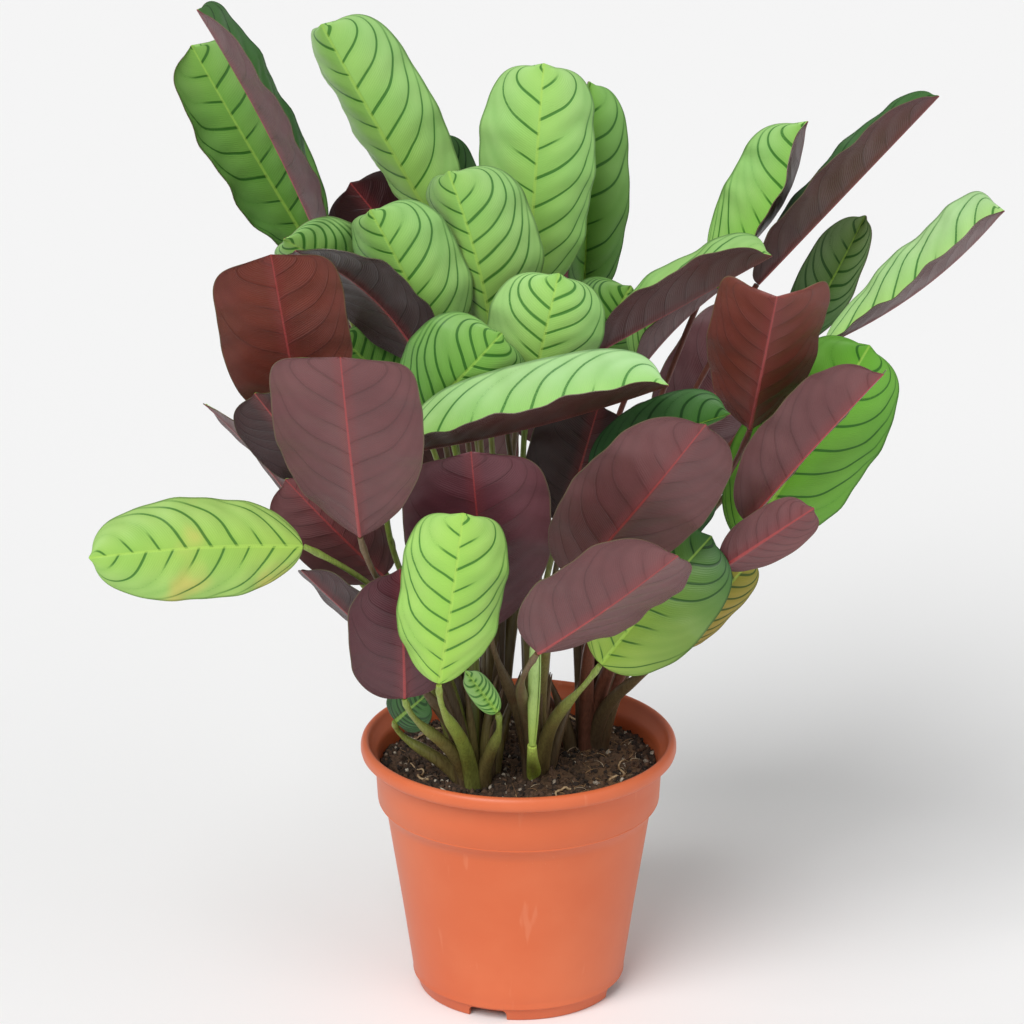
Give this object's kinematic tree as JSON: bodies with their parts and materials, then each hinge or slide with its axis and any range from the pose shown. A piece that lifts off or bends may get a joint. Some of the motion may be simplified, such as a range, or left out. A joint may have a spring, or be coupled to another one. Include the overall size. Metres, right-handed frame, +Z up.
{
  "type": "potted ctenanthe",
  "caption": "Bushy never-never plant with oblong green leaves, maroon beneath, growing in a round tapered plastic nursery pot.",
  "frame": {"origin": "bottom centre of the whole plant's bounding box; the pot's axis stands 11 mm to the left of it and 5.3 mm behind it", "axes": "+Z up, the long way of the object; -Y is the front the plant is seen from, +X its right"},
  "size_m": [0.326, 0.2266, 0.3939],
  "materials": {
    "pot": "satin moulded polypropylene",
    "soil": "crumbly peat and coir",
    "stems": "smooth sheathed stalks, green to red-brown",
    "leaf": "satin, patterned green above and maroon below",
    "new_leaf": "smooth, pale green"
  },
  "bodies": {
    "root": {"pot": "pot", "soil": "soil", "stems_left": "stems", "stems_centre": "stems", "stems_right": "stems", "stems_back": "stems", "leaf_01": "leaf", "leaf_02": "leaf", "leaf_03": "leaf", "leaf_04": "leaf", "leaf_05": "leaf", "leaf_06": "leaf", "leaf_07": "leaf", "leaf_08": "leaf", "leaf_09": "leaf", "leaf_10": "leaf", "leaf_11": "leaf", "leaf_12": "leaf", "leaf_13": "leaf", "leaf_14": "leaf", "leaf_15": "leaf", "leaf_16": "leaf", "leaf_17": "leaf", "leaf_18": "leaf", "leaf_19": "leaf", "leaf_20": "leaf", "leaf_21": "leaf", "leaf_22": "leaf", "leaf_23": "leaf", "leaf_24": "leaf", "leaf_25": "leaf", "leaf_26": "leaf", "leaf_27": "leaf", "leaf_28": "leaf", "leaf_29": "leaf", "leaf_30": "leaf", "leaf_31": "leaf", "leaf_32": "leaf", "leaf_33": "leaf", "leaf_34": "leaf", "leaf_35": "leaf", "leaf_36": "leaf", "leaf_37": "leaf", "leaf_38": "leaf", "leaf_39": "leaf", "leaf_40": "leaf", "leaf_41": "leaf", "leaf_42": "leaf", "leaf_43": "leaf", "leaf_44": "leaf", "leaf_45": "leaf", "leaf_46": "leaf", "leaf_47": "leaf", "leaf_48": "leaf", "leaf_49": "leaf", "leaf_50": "leaf", "leaf_51": "leaf", "leaf_52": "leaf", "spear": "new_leaf"}
  },
  "joints": []
}
